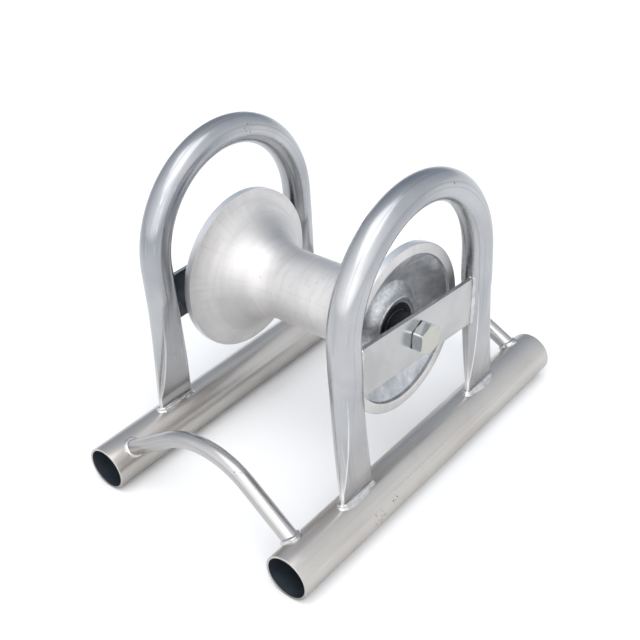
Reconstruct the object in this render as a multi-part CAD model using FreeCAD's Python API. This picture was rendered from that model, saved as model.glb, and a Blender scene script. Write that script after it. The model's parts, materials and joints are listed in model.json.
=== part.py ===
import FreeCAD, Part
import math
import os

# Straight cable roller: an aluminium drum between two bent tube hoops on a pair of base tubes.
# Millimetres and degrees. X runs along the base tubes, the way the cable travels, Y along
# the axle, Z up. The origin lies on the ground, under the middle of the base tubes.
# The right side is at -Y, where the bolt head is, and the front is at -X.

# Base tubes
base_od = 40.0
base_wall = 2.0
base_length = 355.0
base_gauge = 206.0

# Hoops
hoop_od = 26.0
hoop_wall = 2.0
hoop_bend_radius = 88.0
hoop_top = 279.0
hoop_gauge = 197.6
hoop_middle_x = -3.2

# Squashed feet of the hoops: the tube runs from round to flat between two ridges on each side
foot_width = 38.0
foot_thickness = 4.2
foot_gap = 0.6
foot_flat = 12.0
squash_length = 98.0
ridge_turn = 50.0
ridge_spread = 21.4
ridge_slope = 30.0
side_bulge = 0.84

# Crossbars that carry the axle
axle_height = 142.0
bar_height = 43.0
bar_thickness = 4.0
bar_proud = 4.7
right_bar_tilt = 5.3

# Arched cross tubes between the base tubes
arch_od = 14.0
arch_wall = 1.5
arch_top = 76.6
arch_bend_radius = 84.0
arch_slope = 32.7
arch_lean = 6.8
front_arch_inset = 21.0
rear_arch_inset = 17.0

# Drum
drum_length = 177.0
flange_od = 144.5
rim_width = 7.2
rim_round = 1.0
neck_od = 63.4
neck_length = 56.0
recess_od = 126.8
recess_step = 3.0
recess_draft = 0.8
hub_root_od = 72.0
hub_root_depth = 17.1
hub_sweep = 2.6
hub_od = 52.0
hub_depth = 7.0
hub_round = 1.0
bore_chamfer = 0.8
core_od = 41.0

# Ball bearings
bearing_bore = 20.0
bearing_od = 47.0
bearing_width = 14.0
bearing_recess = 1.5
ball_diameter = 7.94
ball_count = 8
ball_gap = 0.06
inner_land_od = 28.6
outer_land_od = 37.8
race_conformity = 0.53
seal_seat_od = 40.6
seal_thickness = 1.3
seal_gap = 0.2
cage_width = 10.2
cage_inner_od = 31.2
cage_outer_od = 35.8
pocket_gap = 0.12

# Axle and its fastening
bolt_diameter = 16.0
bolt_tail = 2.5
bolt_point = 1.5
bolt_turn = -22.0
head_af = 24.0
head_height = 10.0
head_pad_od = 22.5
head_pad = 0.8
corner_cut = 30.0
nut_height = 13.0
spring_washer_od = 27.4
spring_washer_thickness = 3.5
spring_washer_slit = 2.0
spring_washer_slant = 30.0
sleeve_bore = 16.5
inner_spacer_od = 25.0
collar_od = 28.0

# Weld beads
weld_root = 4.0
foot_weld = 4.5
foot_weld_rise = 7.0
bar_weld = 4.6
bar_weld_over = 2.0
bar_weld_lip = 0.2
bar_weld_reach = 4.0
arch_weld = 3.6
arch_weld_rise = 4.5

# Clearances
slip = 0.02
bolt_play = 0.5

# Places that follow from the sizes
base_radius = base_od / 2
base_y = base_gauge / 2
hoop_radius = hoop_od / 2
hoop_y = hoop_gauge / 2
hoop_bend_z = hoop_top - hoop_radius - hoop_bend_radius
foot_top_z = base_od + foot_flat
squash_top_z = foot_top_z + squash_length
arch_radius = arch_od / 2
bar_outer_y = hoop_y + bar_proud
bar_inner_y = bar_outer_y - bar_thickness
bearing_outer_y = drum_length / 2 - hub_depth - bearing_recess
bearing_middle_y = bearing_outer_y - bearing_width / 2
bearing_inner_y = bearing_outer_y - bearing_width
pitch_radius = (bearing_bore + bearing_od) / 4
nut_y = bar_outer_y + spring_washer_thickness
V = FreeCAD.Vector
ORIGIN = V(0, 0, 0)
X_AXIS = V(1, 0, 0)
Y_AXIS = V(0, 1, 0)
Z_AXIS = V(0, 0, 1)


def line(a, b):
    return Part.LineSegment(a, b).toShape()


def arc(a, middle, b):
    return Part.Arc(a, middle, b).toShape()


def solid_from(edges):
    """Flat face inside a closed run of edges."""
    return Part.Face(Part.Wire(edges))


def spun(points):
    """Solid turned about the Y axis from corner points given as radius and distance along Y."""
    corners = [V(r, y, 0) for r, y in points]
    edges = [line(a, b) for a, b in zip(corners, corners[1:] + corners[:1])]
    return solid_from(edges).revolve(ORIGIN, Y_AXIS, 360)


def tube(outer_radius, inner_radius, start_y, end_y):
    """Round tube on the Y axis."""
    return spun([(inner_radius, start_y), (outer_radius, start_y),
                 (outer_radius, end_y), (inner_radius, end_y)])


def on_axle(shape):
    """Move a shape made on the Y axis to the axle."""
    moved = shape.copy()
    moved.translate(V(hoop_middle_x, 0, axle_height))
    return moved


def to_left(shape):
    """Mirror a shape from the right side to the left side."""
    return shape.mirror(ORIGIN, Y_AXIS)


# Base tubes

def base_rod(side):
    """Full round of a base tube, used to cope what is welded to it."""
    start = V(-base_length / 2, side * base_y, base_radius)
    return Part.makeCylinder(base_radius, base_length, start, X_AXIS)


def base_tube(side):
    start = V(-base_length / 2, side * base_y, base_radius)
    bore = Part.makeCylinder(base_radius - base_wall, base_length, start, X_AXIS)
    return base_rod(side).cut(bore)


# Hoops

def section_poles(ridge, crown_y, side, crown_weight, side_weight):
    """Poles and weights round a section made of six conic arcs, from its first quarter."""
    nose = (side[0], 0)
    quarter = [(ridge, 1.0), ((0, crown_y), crown_weight)]
    half = [((-x, y), w) for (x, y), w in ((ridge, 1.0), (side, side_weight), (nose, 1.0),
                                           ((side[0], -side[1]), side_weight))]
    upper = quarter + half
    return upper + [((-x, -y), w) for (x, y), w in upper]


def round_section(radius):
    """Circle with poles where the ridges will begin."""
    turn = math.radians(ridge_turn)
    half_side = math.radians(90 - ridge_turn) / 2
    ridge = (radius * math.sin(turn), radius * math.cos(turn))
    return section_poles(ridge, radius / math.cos(turn), (radius, radius * math.tan(half_side)),
                         math.cos(turn), math.cos(half_side))


def flat_section(width, thickness):
    """Flat with half round edges."""
    r = thickness / 2
    return section_poles((width / 2 - r, r), r, (width / 2, r), 1.0, math.sqrt(0.5))


def ridged_section(width, thickness, spread):
    """Halfway between round and flat: flat faces end in ridges, and the sides bulge."""
    ridge = (spread / 2, thickness / 2)
    drop = (width - spread) / 2 * math.tan(math.radians(ridge_slope))
    side = (width / 2, thickness / 2 - drop)
    return section_poles(ridge, thickness / 2, side, math.cos(math.radians(ridge_slope)), side_bulge)


def squashed_solid(sections, centres):
    """Solid through three sections of poles, each lying flat round its own centre."""
    rows = []
    for section, centre in zip(sections, centres):
        rows.append([(V(centre.x + x, centre.y + y, centre.z) * w, w) for (x, y), w in section])
    for k, ((first, wa), (middle, wb), (last, wc)) in enumerate(zip(*rows)):
        rows[1][k] = (middle * 2 - (first + last) * 0.5, 2 * wb - (wa + wc) / 2)
    faces = []
    ends = ([], [])
    count = len(rows[0])
    for start in range(0, count, 2):
        surface = Part.BezierSurface()
        surface.increase(2, 2)
        curves = (Part.BezierCurve(), Part.BezierCurve())
        for curve in curves:
            curve.increase(2)
        for i in range(3):
            for j, row in enumerate(rows):
                point, weight = row[(start + i) % count]
                surface.setPole(i + 1, j + 1, point * (1 / weight), weight)
                if j != 1:
                    curves[j // 2].setPole(i + 1, point * (1 / weight), weight)
        faces.append(surface.toShape())
        for end, curve in zip(ends, curves):
            end.append(curve.toShape())
    caps = [solid_from(end) for end in ends]
    shell = Part.makeShell(faces + caps)
    shell.sewShape()
    solid = Part.makeSolid(shell)
    if solid.Volume < 0:
        solid.reverse()
    return solid, caps[1]


def hoop_leg(x, side, radius, width, thickness, drop):
    """One leg below the round tube: the squashed length, which bends out from the plane of
    the hoop to the base tube, and, for a drop, the flat foot."""
    spread = ridge_spread * radius / hoop_radius
    sections = (round_section(radius),
                ridged_section(radius + width / 2, radius + thickness / 2, spread),
                flat_section(width, thickness))
    top = V(x, side * hoop_y, squash_top_z)
    foot = V(x, side * base_y, foot_top_z)
    middle = V(x, side * (3 * hoop_y + base_y) / 4, (squash_top_z + foot_top_z) / 2)
    solid, cap = squashed_solid(sections, (top, middle, foot))
    if drop:
        solid = solid.fuse(cap.extrude(V(0, 0, -drop)))
    return solid


def hoop_rod(side, inset, width, thickness, drop):
    """Solid hoop whose round length lies inset inside the outer surface of the tube."""
    radius = hoop_radius - inset
    y = side * hoop_y
    parts = []
    for end in (-1, 1):
        x = hoop_middle_x + end * hoop_bend_radius
        straight = Part.makeCylinder(radius, hoop_bend_z - squash_top_z, V(x, y, squash_top_z), Z_AXIS)
        parts += [straight, hoop_leg(x, side, radius, width, thickness, drop)]
    disc = Part.Face(Part.Wire(Part.makeCircle(
        radius, V(hoop_middle_x + hoop_bend_radius, y, hoop_bend_z), Z_AXIS)))
    bend = disc.revolve(V(hoop_middle_x, y, hoop_bend_z), Y_AXIS, -180)
    return bend.fuse(parts).removeSplitter()


def hoop_outside(side):
    return hoop_rod(side, 0, foot_width, foot_thickness, foot_flat + foot_thickness)


def hoop_inside(side):
    """Hollow of the tube, which the squash closes above the flat foot."""
    return hoop_rod(side, hoop_wall, foot_width - 2 * hoop_wall, foot_gap, 0)


def hoop(side, outside):
    return outside.cut(hoop_inside(side)).cut(base_rod(side))


# Crossbars

def bar_tilt(side):
    return right_bar_tilt if side < 0 else 0.0


def tilted(shape, side):
    """Turn a bar or its weld about the axle, front end up."""
    turned = shape.copy()
    turned.rotate(V(hoop_middle_x, 0, axle_height), Y_AXIS, bar_tilt(side))
    return turned


def bar_blank(side):
    low_y = bar_inner_y if side > 0 else -bar_outer_y
    corner = V(hoop_middle_x - hoop_bend_radius, low_y, axle_height - bar_height / 2)
    blank = Part.makeBox(2 * hoop_bend_radius, bar_thickness, bar_height, corner)
    return tilted(blank, side)


def crossbar(side, outside):
    """Flat bar coped to both legs of the hoop, with the hole for the axle bolt."""
    hole = on_axle(Part.makeCylinder(bolt_diameter / 2 + bolt_play, 2 * bar_thickness,
                                     V(0, side * (bar_outer_y + bar_thickness / 2), 0),
                                     V(0, -side, 0)))
    return bar_blank(side).cut(outside).cut(hole)


# Arched cross tubes

def arch_path():
    """Start of the centre bend, its direction there and the length of a straight leg."""
    slope = math.radians(arch_slope)
    centre_z = arch_top - arch_bend_radius
    start = V(0, -arch_bend_radius * math.sin(slope), centre_z + arch_bend_radius * math.cos(slope))
    direction = V(0, math.cos(slope), math.sin(slope))
    leg = (V(0, -base_y, base_radius) - start).dot(direction * -1)
    return start, direction, leg


def set_arch(shape, end):
    """Lean an arch made on X = 0 towards the middle and move it to the front or the rear."""
    inset = front_arch_inset if end < 0 else rear_arch_inset
    placed = shape.copy()
    placed.rotate(V(0, 0, base_radius), Y_AXIS, -end * arch_lean)
    placed.translate(V(end * (base_length / 2 - inset), 0, 0))
    return placed


def arch_rod(radius):
    """Solid arch: a centre bend between two straight legs."""
    start, direction, leg = arch_path()
    disc = Part.Face(Part.Wire(Part.makeCircle(radius, start, direction)))
    bend = disc.revolve(V(0, 0, arch_top - arch_bend_radius), X_AXIS, -2 * arch_slope)
    right = disc.extrude(direction * -leg)
    return bend.fuse([right, to_left(right)]).removeSplitter()


def cross_tube(end):
    """Arched tube with both ends coped to the base tubes."""
    arch = set_arch(arch_rod(arch_radius).cut(arch_rod(arch_radius - arch_wall)), end)
    return arch.cut(base_rod(-1)).cut(base_rod(1))


# Weld beads

def ruled_solid(upper, lower):
    """Solid between two closed runs of edges that pair up in order."""
    faces = [Part.makeRuledSurface(a, b) for a, b in zip(upper, lower)]
    shell = Part.makeShell(faces + [solid_from(upper), solid_from(lower)])
    shell.sewShape()
    solid = Part.makeSolid(shell)
    if solid.Volume < 0:
        solid.reverse()
    return solid


def stadium(x, y, z, width, thickness):
    """Edges of a flat with half round ends, lying level."""
    r = thickness / 2
    s = width / 2 - r
    return [line(V(x + s, y + r, z), V(x - s, y + r, z)),
            arc(V(x - s, y + r, z), V(x - s - r, y, z), V(x - s, y - r, z)),
            line(V(x - s, y - r, z), V(x + s, y - r, z)),
            arc(V(x + s, y - r, z), V(x + s + r, y, z), V(x + s, y + r, z))]


def foot_weld_bead(side, end, outside):
    """Fillet weld round a squashed foot on the crown of the base tube."""
    x = hoop_middle_x + end * hoop_bend_radius
    y = side * base_y
    root = stadium(x, y, base_od - weld_root,
                   foot_width + 2 * foot_weld, foot_thickness + 2 * foot_weld)
    toe = stadium(x, y, base_od + foot_weld_rise, foot_width, foot_thickness)
    return ruled_solid(toe, root).cut(base_rod(side)).cut(outside)


def bar_weld_bead(side, end, outside):
    """Fillet weld round the end of a crossbar where it meets a leg."""
    middle_y = side * (bar_outer_y + bar_inner_y) / 2
    leg_x = hoop_bend_radius - hoop_radius
    sections = []
    for distance, proud, over in ((leg_x + bar_weld_reach, bar_weld, bar_weld_over),
                                  (leg_x - bar_weld_reach, bar_weld_lip, bar_weld_lip)):
        x = hoop_middle_x + end * distance
        half_z = bar_height / 2 + over
        half_y = bar_thickness / 2 + proud
        corners = [V(x, middle_y + sy * half_y, axle_height + sz * half_z)
                   for sy, sz in ((-1, -1), (1, -1), (1, 1), (-1, 1))]
        sections.append([line(a, b) for a, b in zip(corners, corners[1:] + corners[:1])])
    bead = tilted(ruled_solid(*sections), side)
    return bead.cut(bar_blank(side)).cut(outside)


def arch_weld_bead(side, end):
    """Fillet weld round the end of an arched cross tube."""
    start, direction, leg = arch_path()
    axis_point = start - direction * leg
    offset = axis_point - V(0, -base_y, base_radius)
    to_surface = math.sqrt(base_radius ** 2 - offset.Length ** 2)
    low = axis_point + direction * (to_surface - weld_root)
    cone = Part.makeCone(arch_radius + arch_weld, arch_radius, weld_root + arch_weld_rise, low, direction)
    if side > 0:
        cone = to_left(cone)
    rod = set_arch(arch_rod(arch_radius), end)
    return set_arch(cone, end).cut(base_rod(side)).cut(rod)


# Drum

def drum():
    """Hourglass drum with dished ends and a bearing seat in each hub."""
    half = drum_length / 2
    neck = neck_od / 2
    neck_y = neck_length / 2
    flange = flange_od / 2
    rim_y = half - rim_width
    rise = flange - neck
    run = rim_y - neck_y
    flare = (rise ** 2 + run ** 2) / (2 * rise)
    sweep = math.asin(run / flare) / 2
    flare_middle = V(neck + flare * (1 - math.cos(sweep)), neck_y + flare * math.sin(sweep), 0)
    round_cut = rim_round * (1 - math.sqrt(0.5))
    hub_y = half - hub_depth
    root_y = half - hub_root_depth
    hub = hub_od / 2
    hub_edge_y = hub_y - hub_round
    hub_middle = V((hub_root_od / 2 + hub - hub_sweep) / 2, (root_y + hub_edge_y - hub_sweep) / 2, 0)
    hub_cut = hub_round * (1 - math.sqrt(0.5))
    seat = bearing_od / 2 + slip
    core = core_od / 2

    outline = [
        line(V(neck, 0, 0), V(neck, neck_y, 0)),
        arc(V(neck, neck_y, 0), flare_middle, V(flange, rim_y, 0)),
        line(V(flange, rim_y, 0), V(flange, half - rim_round, 0)),
        arc(V(flange, half - rim_round, 0), V(flange - round_cut, half - round_cut, 0),
            V(flange - rim_round, half, 0)),
        line(V(flange - rim_round, half, 0), V(recess_od / 2, half, 0)),
        line(V(recess_od / 2, half, 0), V(recess_od / 2 - recess_draft, half - recess_step, 0)),
        line(V(recess_od / 2 - recess_draft, half - recess_step, 0), V(hub_root_od / 2, root_y, 0)),
        arc(V(hub_root_od / 2, root_y, 0), hub_middle, V(hub, hub_edge_y, 0)),
        arc(V(hub, hub_edge_y, 0), V(hub - hub_cut, hub_y - hub_cut, 0), V(hub - hub_round, hub_y, 0)),
        line(V(hub - hub_round, hub_y, 0), V(seat + bore_chamfer, hub_y, 0)),
        line(V(seat + bore_chamfer, hub_y, 0), V(seat, hub_y - bore_chamfer, 0)),
        line(V(seat, hub_y - bore_chamfer, 0), V(seat, bearing_inner_y, 0)),
        line(V(seat, bearing_inner_y, 0), V(core, bearing_inner_y, 0)),
        line(V(core, bearing_inner_y, 0), V(core, 0, 0)),
        line(V(core, 0, 0), V(neck, 0, 0)),
    ]
    left = solid_from(outline).revolve(ORIGIN, Y_AXIS, 360)
    return on_axle(left.fuse(to_left(left)).removeSplitter())


# Ball bearings, made round Y = 0 and then moved to their seats

def race_torus(gap_side):
    """Ring that cuts a raceway; gap_side moves it away from the balls."""
    groove = race_conformity * ball_diameter
    centre = pitch_radius + gap_side * (ball_diameter / 2 + ball_gap - groove)
    return Part.makeTorus(centre, groove, ORIGIN, Y_AXIS)


def outer_ring():
    half = bearing_width / 2
    seat_y = half - seal_thickness
    land = outer_land_od / 2
    seat = seal_seat_od / 2
    outer = bearing_od / 2
    blank = spun([(seat, -half), (outer, -half), (outer, half), (seat, half), (seat, seat_y),
                  (land, seat_y), (land, -seat_y), (seat, -seat_y)])
    return blank.cut(race_torus(1))


def inner_ring():
    half = bearing_width / 2
    return tube(inner_land_od / 2, bearing_bore / 2, -half, half).cut(race_torus(-1))


def balls():
    ball = Part.makeSphere(ball_diameter / 2, V(pitch_radius, 0, 0))
    placed = []
    for n in range(ball_count):
        turned = ball.copy()
        turned.rotate(ORIGIN, Y_AXIS, -360.0 * n / ball_count)
        placed.append(turned)
    return placed


def ball_cage():
    """Ring between the raceways with a round pocket through it for each ball."""
    ring = tube(cage_outer_od / 2, cage_inner_od / 2, -cage_width / 2, cage_width / 2)
    pocket = Part.makeCylinder(ball_diameter / 2 + pocket_gap, cage_outer_od, ORIGIN, X_AXIS)
    for n in range(ball_count):
        drill = pocket.copy()
        drill.rotate(ORIGIN, Y_AXIS, -360.0 * n / ball_count)
        ring = ring.cut(drill)
    return ring


def seals():
    """Rubber seals in both ends of the outer ring, clear of the inner ring."""
    half = bearing_width / 2
    inner = inner_land_od / 2 + seal_gap
    near = tube(seal_seat_od / 2, inner, half - seal_thickness, half)
    return [near, to_left(near)]


def at_bearing(shape, side):
    """Move a bearing piece made round Y = 0 to the seat on one side."""
    moved = shape.copy()
    moved.translate(V(0, side * bearing_middle_y, 0))
    return on_axle(moved)


# Axle and its fastening

def hexagon(start_y, height):
    """Hexagon prism on the Y axis with two flats level."""
    corners = [V(head_af / math.sqrt(3) * math.cos(math.radians(60 * n)), start_y,
                 head_af / math.sqrt(3) * math.sin(math.radians(60 * n))) for n in range(7)]
    return Part.Face(Part.makePolygon(corners)).extrude(Y_AXIS * height)


def corner_cone(tip_y, height):
    """Cone that takes the corners off a hexagon, widening away from tip_y."""
    small = head_af / 2
    sign = 1 if height > 0 else -1
    length = abs(height)
    wide = small + length / math.tan(math.radians(corner_cut))
    return Part.makeCone(small, wide, length, V(0, tip_y, 0), V(0, sign, 0))


def axle_bolt():
    """Hexagon bolt through both crossbars, head on the right."""
    seat_y = -bar_outer_y
    front_y = seat_y - head_height
    head = hexagon(front_y, head_height - head_pad).common(corner_cone(front_y, head_height))
    pad = Part.makeCylinder(head_pad_od / 2, head_pad, V(0, seat_y - head_pad, 0), Y_AXIS)
    end_y = nut_y + nut_height + bolt_tail
    shank = spun([(0, seat_y - head_pad), (bolt_diameter / 2, seat_y - head_pad),
                  (bolt_diameter / 2, end_y - bolt_point),
                  (bolt_diameter / 2 - bolt_point, end_y), (0, end_y)])
    turned = head.fuse([pad, shank]).removeSplitter()
    turned.rotate(ORIGIN, Y_AXIS, bolt_turn)
    return on_axle(turned)


def axle_nut():
    body = hexagon(nut_y, nut_height)
    body = body.common(corner_cone(nut_y, nut_height))
    body = body.common(corner_cone(nut_y + nut_height, -nut_height))
    bore = Part.makeCylinder(bolt_diameter / 2 + slip, nut_height, V(0, nut_y, 0), Y_AXIS)
    return on_axle(body.cut(bore))


def spring_washer():
    """Split ring pressed flat under the nut."""
    ring = tube(spring_washer_od / 2, bolt_diameter / 2 + bolt_play, bar_outer_y, nut_y)
    slit = Part.makeBox(spring_washer_slit, 2 * spring_washer_thickness, spring_washer_od,
                        V(-spring_washer_slit / 2, bar_outer_y - spring_washer_thickness / 2, 0))
    slit.rotate(V(0, (bar_outer_y + nut_y) / 2, 0), Z_AXIS, spring_washer_slant)
    return on_axle(ring.cut(slit))


def axle_sleeve():
    """Tube on the bolt, clamped between the crossbars, that the bearings sit on."""
    return on_axle(tube(bearing_bore / 2 - slip, sleeve_bore / 2, -bar_inner_y, bar_inner_y))


def inner_spacer():
    """Tube that keeps the two inner rings apart."""
    return on_axle(tube(inner_spacer_od / 2, bearing_bore / 2, -bearing_inner_y, bearing_inner_y))


def collar():
    """Collar between a bearing and the crossbar."""
    return on_axle(tube(collar_od / 2, bearing_bore / 2, bearing_outer_y, bar_inner_y))


def pieces():
    """Every piece by its name: a shape, or a list of separate solids."""
    made = {}
    for name, side in (("right", -1), ("left", 1)):
        outside = hoop_outside(side)
        made["base_tube_" + name] = base_tube(side)
        made["hoop_" + name] = hoop(side, outside)
        made["crossbar_" + name] = crossbar(side, outside)
        made["foot_welds_" + name] = [foot_weld_bead(side, end, outside) for end in (-1, 1)]
        made["crossbar_welds_" + name] = [bar_weld_bead(side, end, outside) for end in (-1, 1)]
        made["bearing_outer_ring_" + name] = at_bearing(outer_ring(), side)
        made["bearing_inner_ring_" + name] = at_bearing(inner_ring(), side)
        made["ball_set_" + name] = [at_bearing(ball, side) for ball in balls()]
        made["ball_cage_" + name] = at_bearing(ball_cage(), side)
        made["bearing_seals_" + name] = [at_bearing(seal, side) for seal in seals()]
    for name, end in (("front", -1), ("rear", 1)):
        made["cross_tube_" + name] = cross_tube(end)
        made["cross_tube_welds_" + name] = [arch_weld_bead(side, end) for side in (-1, 1)]
    made["roller_drum"] = drum()
    made["axle_bolt"] = axle_bolt()
    made["axle_nut"] = axle_nut()
    made["spring_washer"] = spring_washer()
    made["axle_sleeve"] = axle_sleeve()
    made["inner_spacer"] = inner_spacer()
    made["spacer_collar_left"] = collar()
    made["spacer_collar_right"] = to_left(collar())
    return made


def main():
    os.makedirs("parts", exist_ok=True)
    for name, made in pieces().items():
        solids = [s for shape in (made if isinstance(made, list) else [made]) for s in shape.Solids]
        shape = solids[0] if len(solids) == 1 else Part.makeCompound(solids)
        shape.exportStep("parts/" + name + ".step")
        box = shape.BoundBox
        print("%-26s solids %d  volume %.0f  x %.1f %.1f  y %.1f %.1f  z %.1f %.1f" % (
            name, len(solids), shape.Volume, box.XMin, box.XMax, box.YMin, box.YMax,
            box.ZMin, box.ZMax))


main()
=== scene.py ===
"""Straight cable roller: the looks of its welded tube frame, drum, bearings and axle.

Metres: X along the base tubes, Y along the axle from the bolt head to the nut, Z up. A side is
-1 on the right and 1 on the left, and an end is -1 at the front and 1 at the rear.
"""
import json
import math

import bmesh
import bpy
import numpy as np
from mathutils import Matrix, Vector

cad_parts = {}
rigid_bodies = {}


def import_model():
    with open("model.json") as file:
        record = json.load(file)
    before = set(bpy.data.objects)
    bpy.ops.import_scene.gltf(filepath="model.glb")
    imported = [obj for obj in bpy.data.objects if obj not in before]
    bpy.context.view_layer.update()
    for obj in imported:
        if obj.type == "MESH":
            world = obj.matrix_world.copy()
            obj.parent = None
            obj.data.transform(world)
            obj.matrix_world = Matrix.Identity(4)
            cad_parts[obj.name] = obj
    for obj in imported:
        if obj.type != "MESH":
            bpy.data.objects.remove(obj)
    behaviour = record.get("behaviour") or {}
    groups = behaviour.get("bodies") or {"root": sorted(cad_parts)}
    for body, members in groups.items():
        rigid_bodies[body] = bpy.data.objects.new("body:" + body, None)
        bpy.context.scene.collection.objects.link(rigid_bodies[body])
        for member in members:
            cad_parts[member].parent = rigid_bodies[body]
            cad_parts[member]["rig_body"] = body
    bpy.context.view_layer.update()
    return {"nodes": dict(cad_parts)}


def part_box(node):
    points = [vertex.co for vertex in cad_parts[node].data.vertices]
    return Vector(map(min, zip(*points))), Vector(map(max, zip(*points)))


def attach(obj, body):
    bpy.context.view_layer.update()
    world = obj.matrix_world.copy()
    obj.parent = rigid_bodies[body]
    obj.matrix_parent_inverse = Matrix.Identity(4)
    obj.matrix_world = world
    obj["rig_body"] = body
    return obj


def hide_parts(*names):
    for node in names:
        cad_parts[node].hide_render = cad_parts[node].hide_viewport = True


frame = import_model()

MM = 0.001

# Places and sizes read from the frame
base_low, base_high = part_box("base_tube_left")
drum_low, drum_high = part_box("roller_drum")
base_radius = (base_high.z - base_low.z) / 2
base_y = (base_low.y + base_high.y) / 2
base_half = base_high.x
axle_x = (drum_low.x + drum_high.x) / 2
axle_z = (drum_low.z + drum_high.z) / 2
axle_centre = Vector((axle_x, 0, axle_z))
drum_half = drum_high.y
hoop_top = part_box("hoop_left")[1].z

# Base tubes
tube_wall = 2.0 * MM
tube_end_round = 0.35 * MM
tube_segments = 160
tube_steps = 24

# Hoops
hoop_y = 98.8 * MM
hoop_radius = 13.0 * MM
hoop_bend = 88.0 * MM
foot_width = 38.0 * MM
foot_thickness = 4.2 * MM
foot_top = 52.0 * MM
foot_sink = 1.0 * MM
squash_top = 150.0 * MM
ridge_angle = math.radians(50)
ridge_spread = 21.4 * MM
ridge_slope = math.radians(30)
side_bulge = 0.84
ridge_softness = 0.6 * MM
# Length that scales how sharply a ring must bend to carry the painted ridge highlight
ridge_highlight_scale = 1.5 * MM
arc_steps = 22
leg_steps = 56
straight_steps = 5
bend_steps = 96

# Crossbars
bar_thickness = 4.0 * MM
bar_height = 43.0 * MM
bar_round = 0.5 * MM
bar_outer_y = 103.5 * MM
bar_sink = 1.6 * MM
bar_hole_gap = 0.5 * MM
bar_tilt = {-1: math.radians(5.3), 1: 0.0}
bar_steps = 60
hole_segments = 64

# Arched cross tubes
arch_radius = 7.0 * MM
arch_top = 76.6 * MM
arch_bend = 84.0 * MM
arch_slope = math.radians(32.7)
arch_lean = math.radians(6.8)
arch_inset = {-1: 21.0 * MM, 1: 17.0 * MM}
arch_segments = 64
arch_seam_segments = 48
arch_bend_steps = 40
arch_leg_steps = 8

# Drum
neck_radius = 31.7 * MM
neck_half = 28.0 * MM
flange_radius = 72.25 * MM
rim_width = 7.2 * MM
rim_round = 1.0 * MM
recess_radius = 63.4 * MM
recess_step = 3.0 * MM
recess_draft = 0.8 * MM
recess_round = 0.5 * MM
hub_root_radius = 36.0 * MM
hub_root_depth = 17.1 * MM
hub_radius = 26.0 * MM
hub_depth = 7.0 * MM
hub_round = 1.0 * MM
hub_bow = 2.0 * MM
seat_radius = 23.52 * MM
seat_chamfer = 0.8 * MM
core_radius = 20.5 * MM
drum_segments = 256
flare_steps = 32
dish_steps = 8
hub_steps = 12

# Bearings and collars
bearing_face = 80.0 * MM
bearing_back = 66.0 * MM
bearing_round = 0.6 * MM
outer_ring_radius = 23.5 * MM
small_round = 0.3 * MM
seal_radius = 20.3 * MM
land_radius = 18.9 * MM
seal_inner = 14.5 * MM
seal_thickness = 1.3 * MM
seal_sink = 0.1 * MM
seal_step_radii = (16.1 * MM, 18.5 * MM, 19.5 * MM)
seal_step_depth = 0.35 * MM
seal_step_half = 0.1 * MM
seal_step_round = 0.15 * MM
sleeve_radius = 10.0 * MM
collar_radius = 14.0 * MM
collar_round = 0.8 * MM
bearing_segments = 160
collar_segments = 128

# Bolt and nut
head_flats = 24.0 * MM
head_height = 10.0 * MM
head_pad = 0.8 * MM
head_pad_radius = 11.25 * MM
head_corner_cut = 0.21 * MM
head_corner_blend = 0.0875 * MM
head_chamfer = math.radians(30)
head_face_share = 0.985
head_ring_share = 0.9
hexagon_segments = 240
nut_height = 13.0 * MM
nut_sink = 1.0 * MM
washer_thickness = 3.5 * MM
bolt_radius = 8.0 * MM
bolt_turn = math.radians(-22)
bolt_tail = 2.5 * MM
shank_end = 93.15 * MM
thread_start = 95.22 * MM
thread_pitch = 2.0 * MM
thread_depth = 1.1 * MM
thread_play = 0.05 * MM
thread_steps = 8
tip_length = 1.5 * MM
tip_drop = 1.3 * MM
core_drop = 1.4 * MM

# Weld beads: reach along one part and rise up the other, then how their skin swells
foot_bead = {"Reach": 4.6 * MM, "Rise": 3.6 * MM, "Hollow": 1.0, "Ridges": 5.0, "Ridge height": 0.13,
             "Ripple length": 3.4 * MM, "Ripple depth": 0.003, "Lump size": 14 * MM, "Lump height": 0.15}
bar_bead = {"Reach": 1.9 * MM, "Rise": 2.0 * MM, "Hollow": 1.3, "Ridges": 4.0, "Ridge height": 0.05,
            "Ripple length": 3.0 * MM, "Ripple depth": 0.06, "Lump size": 5 * MM, "Lump height": 0.4}
arch_bead = {"Reach": 2.3 * MM, "Rise": 3.4 * MM, "Hollow": 1.3, "Ridges": 8.0, "Ridge height": 0.06,
             "Ripple length": 3.0 * MM, "Ripple depth": 0.03, "Lump size": 8 * MM, "Lump height": 0.2}

# Points of a bead along each of its ripples, and around it
ripple_points = 7
around_points = 40

# A foot's bead: its share at the noses, what the long sides add, and how far off centre
foot_bead_thin = 0.62
foot_bead_swell = 0.42
foot_bead_lean = {-1: 0.12, 1: -0.1}
foot_bead_droop = 0.3
foot_side_steps = 40
foot_nose_steps = 12

# A bar end's seam: steps up a side and across an edge
bar_side_steps = 30
bar_edge_steps = 6

# Camera found from the photograph: place, direction, roll and focal length in pixels
camera_place = Vector((-550.63, -490.91, 607.43)) * MM
camera_azimuth = math.radians(-48.03)
camera_elevation = math.radians(33.68)
camera_roll = -0.07
focal_pixels = 1032.31
image_pixels = 640

# Turn from the underside of a base tube to its dotted die line and to its bright one, a real line whose
# highlight is painted in
die_line = math.radians(114)
highlight_die_line = math.radians(187)

# Where groups of pits lie, and how far each reaches
base_marks = ((Vector((-86.5, -122.5, 21.0)) * MM, 11.0 * MM),
              (Vector((-126.0, -113.0, 34.0)) * MM, 3.5 * MM),
              (Vector((-66.0, -121.5, 26.0)) * MM, 6.0 * MM))
hoop_marks = ((Vector((18.6, 86.0, 266.0)) * MM, 7.0 * MM),
              (Vector((30.8, -111.7, 261.1)) * MM, 5.0 * MM),
              (Vector((-156.1, -38.7, 71.8)) * MM, 7.0 * MM))
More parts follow.
